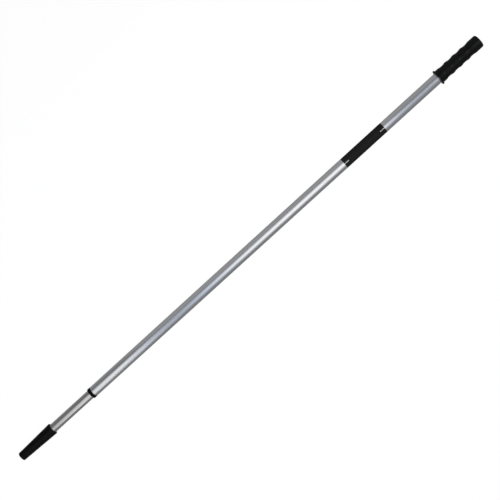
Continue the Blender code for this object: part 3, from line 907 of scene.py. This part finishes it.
def make_split_collet():
    """The split sleeve: shallow grip rings round its fingers, a cone inside, and four slots."""
    bore = STUD_HOLE + FIT_GAP
    base_top = COLLET_START + 0.006
    rings = []
    ring_count, first_ring, ring_pitch, ring_sink = 6, 0.0125, 0.0036, 0.00035
    flank_end, floor_end, ring_width, ring_round = 0.0004, 0.0010, 0.0014, 0.0002
    for index in range(ring_count):
        x = COLLET_START + first_ring + index * ring_pitch
        rings += [
            (x, COLLET_RADIUS, ring_round),
            (x + flank_end, COLLET_RADIUS - ring_sink, ring_round),
            (x + floor_end, COLLET_RADIUS - ring_sink, ring_round),
            (x + ring_width, COLLET_RADIUS, ring_round),
        ]
    corners = [
        (COLLET_START, bore, 0.0003),
        (COLLET_START, COLLET_RADIUS, 0.0007),
        *rings,
        (COLLET_END, COLLET_RADIUS, 0.0007),
        (COLLET_END, CONE_END_RADIUS, 0.0004),
        (COLLET_START + CONE_START, CONE_START_RADIUS),
        (base_top, CONE_START_RADIUS),
        (base_top, bore),
    ]
    collet = spun("split_collet", rounded(corners, 4), even_angles(MEDIUM), closed=True)
    past_end = 0.004
    slot_length = COLLET_END - COLLET_START - SLOT_FLOOR + past_end
    middle = COLLET_START + SLOT_FLOOR + slot_length / 2
    for index in range(COLLET_SLOTS // 2):
        turn = Matrix.Rotation((index + 0.5) * math.pi / 2, 3, "X")
        size = (slot_length, 4 * OUTER_RADIUS, SLOT_WIDTH)
        boolean(collet, block("slot", size, (middle, 0, AXIS_HEIGHT), turn))
    finished(collet, NATURAL_NYLON, "sliding_collet", "natural_nylon", "expander_collet")


def cone_radius(x):
    """Radius of the collet's inner cone."""
    start = COLLET_START + CONE_START
    share = (x - start) / (COLLET_END - start)
    return CONE_START_RADIUS + (CONE_END_RADIUS - CONE_START_RADIUS) * share


def make_cone_nut():
    """The tapered nut, with its two keys joined on."""
    corners = [
        (WEDGE_START, STUD_HOLE, 0.0003),
        (WEDGE_START, cone_radius(WEDGE_START) - WEDGE_CLEARANCE, 0.0004),
        (WEDGE_END, cone_radius(WEDGE_END) - WEDGE_CLEARANCE, 0.0004),
        (WEDGE_END, STUD_HOLE, 0.0003),
    ]
    nut = spun("cone_nut", rounded(corners, 4), even_angles(MEDIUM), closed=True)
    root, reach = STUD_HOLE + KEY_ROOT_DEPTH, KEY_REACH
    for side in (-1, 1):
        turn = Matrix.Rotation(math.pi / 4, 3, "X")
        offset = turn @ Vector((0, 0, side * (reach + root) / 2))
        middle = (WEDGE_START + WEDGE_END) / 2 + KEY_FORWARD
        centre = Vector((middle, 0, AXIS_HEIGHT)) + offset
        size = (WEDGE_END - WEDGE_START - KEY_END_GAP, KEY_THICKNESS, reach - root)
        boolean(nut, block("key", size, centre, turn), "UNION")
    finished(nut, NATURAL_NYLON, "travelling_wedge", "natural_nylon", "wedge_nut")


def make_hex_nut():
    """A hexagon nut with 30 degree chamfers on both faces and a countersunk bore."""
    low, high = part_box("lock_nut")
    across_flats = min(high.y - low.y, high.z - low.z)
    corner_radius = across_flats / 2 / math.cos(math.pi / 6)
    shape = bmesh.new()
    bmesh.ops.create_cone(
        shape,
        cap_ends=True,
        segments=6,
        radius1=corner_radius,
        radius2=corner_radius,
        depth=NUT_END - NUT_START,
    )
    lie_down = Matrix.Rotation(math.pi / 2, 3, "Y")
    bmesh.ops.rotate(shape, cent=(0, 0, 0), matrix=lie_down, verts=shape.verts)
    bmesh.ops.translate(shape, vec=((NUT_START + NUT_END) / 2, 0, AXIS_HEIGHT), verts=shape.verts)
    nut = as_object("hex_nut", shape)
    flat = across_flats / 2 * 0.96
    outside = corner_radius + 0.0005
    slope = (outside - flat) * math.tan(math.radians(30))
    envelope = [
        (NUT_START, 0.0),
        (NUT_START, flat),
        (NUT_START + slope, outside),
        (NUT_END - slope, outside),
        (NUT_END, flat),
        (NUT_END, 0.0),
    ]
    boolean(nut, spun("nut_envelope", envelope, even_angles(MEDIUM)), "INTERSECT")
    sink, past_face = 0.0005, 0.001
    bore = [
        (NUT_START - past_face, 0.0),
        (NUT_START - past_face, STUD_HOLE + sink + past_face),
        (NUT_START + sink, STUD_HOLE),
        (NUT_END - sink, STUD_HOLE),
        (NUT_END + past_face, STUD_HOLE + sink + past_face),
        (NUT_END + past_face, 0.0),
    ]
    boolean(nut, spun("nut_bore", bore, even_angles(SMALL)))
    finished(nut, ZINC, "inner_section", "zinc_steel", "lock_nut")


# ---- floor, light and camera ----------------------------------------------------------------


def gradient(nodes, links, coordinates, axis, low, high, reach):
    """A value from low at -reach to high at +reach along one axis of the coordinates."""
    split = nodes.new("ShaderNodeSeparateXYZ")
    ranged = nodes.new("ShaderNodeMapRange")
    ranged.interpolation_type = "SMOOTHSTEP"
    ranged.inputs["From Min"].default_value = -reach
    ranged.inputs["From Max"].default_value = reach
    ranged.inputs["To Min"].default_value = low
    ranged.inputs["To Max"].default_value = high
    links.new(coordinates, split.inputs[0])
    links.new(split.outputs[axis], ranged.inputs["Value"])
    return ranged.outputs["Result"]


FLOOR_SIZE = 30.0
FLOOR_NEAR, FLOOR_FAR, FLOOR_REACH = 0.20, 0.27, 0.1  # what the pole mirrors, towards -Y and +Y
ROOM_NEAR, ROOM_FAR, ROOM_REACH = 0.19, 0.17, 0.7  # and of the room above
FLOOR_GLOW, FLOOR_DIFFUSE = 0.96, 0.12  # what the camera sees


def make_floor():
    """A pale floor. The camera sees it near white, and the pole mirrors it as mid grey."""
    shape = bmesh.new()
    bmesh.ops.create_grid(shape, x_segments=1, y_segments=1, size=FLOOR_SIZE)
    floor = as_object("floor", shape)
    material = bpy.data.materials.new("pale_floor")
    material.use_nodes = True
    nodes, links = material.node_tree.nodes, material.node_tree.links
    nodes.clear()
    output = nodes.new("ShaderNodeOutputMaterial")
    mix, lit = nodes.new("ShaderNodeMixShader"), nodes.new("ShaderNodeAddShader")
    seen = nodes.new("ShaderNodeBsdfDiffuse")
    glow, mirrored = nodes.new("ShaderNodeEmission"), nodes.new("ShaderNodeEmission")
    seen.inputs["Color"].default_value = (*(FLOOR_DIFFUSE,) * 3, 1.0)
    glow.inputs["Strength"].default_value = FLOOR_GLOW
    place = nodes.new("ShaderNodeTexCoord").outputs["Object"]
    across = gradient(nodes, links, place, "Y", FLOOR_NEAR, FLOOR_FAR, FLOOR_REACH)
    links.new(across, mirrored.inputs["Strength"])
    links.new(seen.outputs[0], lit.inputs[0])
    links.new(glow.outputs[0], lit.inputs[1])
    links.new(nodes.new("ShaderNodeLightPath").outputs["Is Camera Ray"], mix.inputs["Fac"])
    links.new(mirrored.outputs[0], mix.inputs[1])
    links.new(lit.outputs[0], mix.inputs[2])
    links.new(mix.outputs[0], output.inputs["Surface"])
    floor.data.materials.append(material)


def make_world():
    """A dim studio round the pole, with a white backdrop behind the floor's edge."""
    world = bpy.data.worlds.new("studio")
    bpy.context.scene.world = world
    world.use_nodes = True
    nodes, links = world.node_tree.nodes, world.node_tree.links
    nodes.clear()
    output = nodes.new("ShaderNodeOutputWorld")
    room, backdrop = nodes.new("ShaderNodeBackground"), nodes.new("ShaderNodeBackground")
    room.inputs["Color"].default_value = (0.975, 0.99, 1.02, 1.0)
    direction = nodes.new("ShaderNodeTexCoord").outputs["Generated"]
    across = gradient(nodes, links, direction, "Y", ROOM_NEAR, ROOM_FAR, ROOM_REACH)
    links.new(across, room.inputs["Strength"])
    backdrop.inputs["Color"].default_value = (1.0, 1.0, 1.0, 1.0)
    backdrop.inputs["Strength"].default_value = 1.0
    mix = nodes.new("ShaderNodeMixShader")
    links.new(nodes.new("ShaderNodeLightPath").outputs["Is Camera Ray"], mix.inputs["Fac"])
    links.new(room.outputs[0], mix.inputs[1])
    links.new(backdrop.outputs[0], mix.inputs[2])
    links.new(mix.outputs[0], output.inputs["Surface"])


LIGHT_HEIGHT = 0.35
# The soft light over the pole is four overlapping strips. Each has the angles that it covers, in
# degrees from straight up towards -Y, and then its glow: places along X, from the roller end to the
# grip, with the brightness there.
STRIPS = {
    "wide": (
        (-26, 50),
        (
            (-0.8, 0.1), (-0.6, 0.4), (-0.45, 0.5), (-0.3, 0.2),
            (-0.15, 0.35), (0.1, 0.55), (0.4, 0.5), (0.5, 0.1),
        ),
    ),
    "core": (
        (-4, 30),
        ((-0.6, 0.2), (-0.5, 0.1), (-0.3, 0.0), (-0.1, 0.2), (0.6, 0.2), (0.65, 0.0), (0.7, 1.0)),
    ),
    "narrow": (
        (6, 22),
        (
            (-0.6, 0.0), (-0.5, 0.6), (-0.4, 0.0), (-0.25, 0.1), (-0.1, 0.4), (0.1, 0.3),
            (0.35, 0.3), (0.4, 0.8), (0.45, 0.1), (0.65, 0.0), (0.7, 1.0),
        ),
    ),
    "side": ((34, 74), ((-0.8, 0.1), (-0.75, 0.8), (-0.68, 0.8), (-0.63, 0.1))),
}
NEUTRAL, BLUE = (1.0, 1.0, 1.0), (0.7, 0.8, 1.0)
# Two stretches of the pole mirror something bluer: past the collar, and in front of the grip.
TINTS = (
    (-0.5, NEUTRAL),
    (-0.35, BLUE),
    (-0.2, BLUE),
    (-0.05, NEUTRAL),
    (0.4, NEUTRAL),
    (0.5, BLUE),
    (0.6, BLUE),
    (0.7, NEUTRAL),
)
STRIP_START, STRIP_END = -1.0, 1.0
STRIP_SPACING = 0.01  # strips in one plane would hide each other
# An upright light beyond the pole's +Y side.
FILL_X, FILL_Y, FILL_LENGTH, FILL_HEIGHT, FILL_BRIGHTNESS = 0.4, 0.5, 1.8, 0.62, 0.125


def area_light(name, location, along, across, brightness):
    """A rectangular light, unseen by the camera, whose surface has the given brightness."""
    light = bpy.data.lights.new(name, "AREA")
    light.shape = "RECTANGLE"
    light.size, light.size_y = along, across
    light.energy = brightness * math.pi * along * across
    obj = bpy.data.objects.new(name, light)
    obj.location = location
    obj.visible_camera = False
    bpy.context.scene.collection.objects.link(obj)
    return obj


def ramp_along_pole(tree, place, stops):
    """A colour ramp through (x, colour) stops, for a place between STRIP_START and STRIP_END."""
    ramp = tree.nodes.new("ShaderNodeValToRGB")
    tree.links.new(place, ramp.inputs["Fac"])
    elements = ramp.color_ramp.elements
    elements.remove(elements[0])
    for index, (x, colour) in enumerate(stops):
        share = (x - STRIP_START) / (STRIP_END - STRIP_START)
        element = elements[0] if index == 0 else elements.new(share)
        element.position = share
        element.color = (*colour, 1.0)
    return ramp.outputs["Color"]


def vary_along_pole(light, glow):
    """Makes a strip follow TINTS and its own glow, which is a row of (x, brightness)."""
    light.use_nodes = True
    tree = light.node_tree
    split, place = tree.nodes.new("ShaderNodeSeparateXYZ"), tree.nodes.new("ShaderNodeMapRange")
    place.inputs["From Min"].default_value = STRIP_START
    place.inputs["From Max"].default_value = STRIP_END
    tree.links.new(tree.nodes.new("ShaderNodeNewGeometry").outputs["Position"], split.inputs[0])
    tree.links.new(split.outputs["X"], place.inputs["Value"])
    tint = ramp_along_pole(tree, place.outputs["Result"], TINTS)
    greys = [(x, (brightness, brightness, brightness)) for x, brightness in glow]
    strength = ramp_along_pole(tree, place.outputs["Result"], greys)
    tree.links.new(tint, tree.nodes["Emission"].inputs["Color"])
    tree.links.new(strength, tree.nodes["Emission"].inputs["Strength"])


def make_lights():
    length = STRIP_END - STRIP_START
    for strip, (name, (angles, glow)) in enumerate(STRIPS.items()):
        height = LIGHT_HEIGHT + strip * STRIP_SPACING
        far_side, near_side = (-height * math.tan(math.radians(angle)) for angle in angles)
        place = (0, (far_side + near_side) / 2, AXIS_HEIGHT + height)
        light = area_light(f"{name}_strip", place, length, abs(far_side - near_side), 1.0)
        vary_along_pole(light.data, glow)
    place = (FILL_X, FILL_Y, FILL_HEIGHT / 2)
    fill = area_light("far_side_fill", place, FILL_LENGTH, FILL_HEIGHT, FILL_BRIGHTNESS)
    fill.rotation_euler.x = -math.pi / 2


CAMERA_DISTANCE = 2.350
CAMERA_TARGET = Vector((0.0117, -0.00137, AXIS_HEIGHT))
CAMERA_TILT = math.radians(5.0)  # the grip's end is nearer
CAMERA_ROLL = math.radians(42.31)  # the pole's slope in the picture
LENS, SENSOR = 84.24, 36.0


def make_camera():
    """Looks down on the pole, turned so that it rises from lower left to upper right."""
    back = Vector((math.sin(CAMERA_TILT), 0, math.cos(CAMERA_TILT)))
    along = Vector((math.cos(CAMERA_TILT), 0, -math.sin(CAMERA_TILT)))
    across = back.cross(along)
    right = along * math.cos(CAMERA_ROLL) - across * math.sin(CAMERA_ROLL)
    up = along * math.sin(CAMERA_ROLL) + across * math.cos(CAMERA_ROLL)
    data = bpy.data.cameras.new("camera")
    data.lens, data.sensor_width = LENS, SENSOR
    data.clip_start, data.clip_end = 0.05, 100.0
    camera = bpy.data.objects.new("camera", data)
    camera.matrix_world = Matrix.Translation(CAMERA_TARGET + back * CAMERA_DISTANCE) @ (
        Matrix((right, up, back)).transposed().to_4x4()
    )
    bpy.context.scene.collection.objects.link(camera)
    bpy.context.scene.camera = camera


# ---- the scene ------------------------------------------------------------------------------

make_outer_tube()
make_guide_collar()
make_label()
make_label_dashes()
make_finger_grip()
make_butt_cap()
make_inner_tube()
make_roller_taper()
make_taper_screw()
make_crimp_plug()
make_threaded_stud()
make_washer("plug_washer", "thrust_washer")
make_washer("end_washer", "stop_washer")
make_split_collet()
make_cone_nut()
make_hex_nut()
make_floor()
make_world()
make_lights()
make_camera()
bpy.context.scene.view_settings.view_transform = "Standard"
